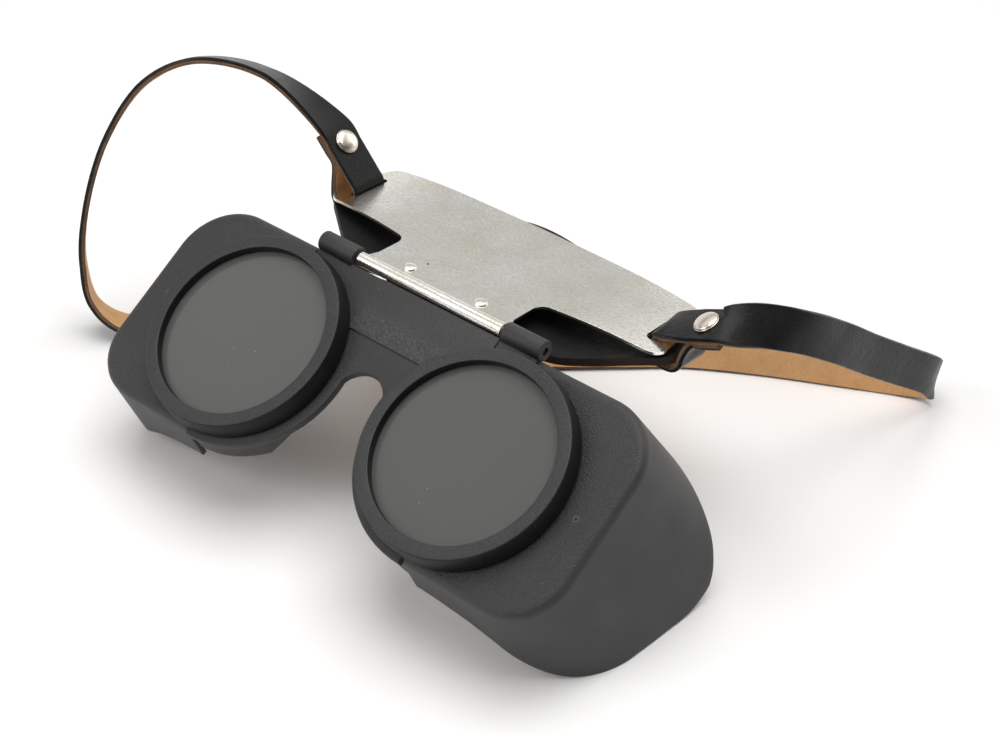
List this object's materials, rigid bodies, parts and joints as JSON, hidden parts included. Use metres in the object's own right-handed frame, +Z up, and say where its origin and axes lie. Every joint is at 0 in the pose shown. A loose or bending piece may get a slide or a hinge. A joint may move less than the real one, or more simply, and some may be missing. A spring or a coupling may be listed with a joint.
{
  "type": "welding glasses",
  "caption": "Lift-front welding glasses with round screwed filter lenses, wrap-round side shields, a sheet-metal brow plate with a leather pad, and a riveted leather head strap.",
  "frame": {"origin": "middle of the footprint, on the table that the glasses lie on", "axes": "+X along the hinge towards the side shield on the right of the picture, -Y the side that the lenses face, +Z up from the table"},
  "size_m": [0.2146, 0.1702, 0.0887],
  "materials": {
    "nylon": "fine-grained matte black moulding",
    "filter_glass": "polished, almost opaque dark grey",
    "clear_glass": "polished clear",
    "fibre": "matte brown gasket fibre",
    "steel": "drawn wire",
    "zinc_plate": "satin zinc-plated sheet",
    "hide": "black grain outside, tan flesh side and raw edges",
    "nickel": "bright nickel"
  },
  "bodies": {
    "goggles": {"front_frame": "nylon", "side_shield_left": "nylon", "side_shield_right": "nylon", "filter_glass_left": "filter_glass", "filter_glass_right": "filter_glass", "backing_glass_left": "clear_glass", "backing_glass_right": "clear_glass", "gasket_left": "fibre", "gasket_right": "fibre", "hinge_pin": "steel"},
    "brow": {"brow_plate": "zinc_plate", "brow_pad": "hide", "head_strap": "hide", "rivet_cap_left": "nickel", "rivet_cap_right": "nickel", "rivet_base_left": "nickel", "rivet_base_right": "nickel"},
    "ring_left": {"lens_ring_left": "nylon"},
    "ring_right": {"lens_ring_right": "nylon"}
  },
  "joints": [
    {"name": "brow_hinge", "type": "hinge", "parent": "goggles", "child": "brow", "pos_m": [0.02001, -0.03106, 0.05765], "axis": [1, 0, 0], "range_deg": [0, 130]},
    {"name": "ring_left_turn", "type": "hinge", "parent": "goggles", "child": "ring_left", "pos_m": [-0.01743, -0.06198, 0.04634], "axis": [0, -0.5195, 0.8545], "range_deg": [0, 540]},
    {"name": "ring_right_turn", "type": "hinge", "parent": "goggles", "child": "ring_right", "pos_m": [0.05745, -0.06198, 0.04634], "axis": [0, -0.5195, 0.8545], "range_deg": [0, 540]}
  ]
}
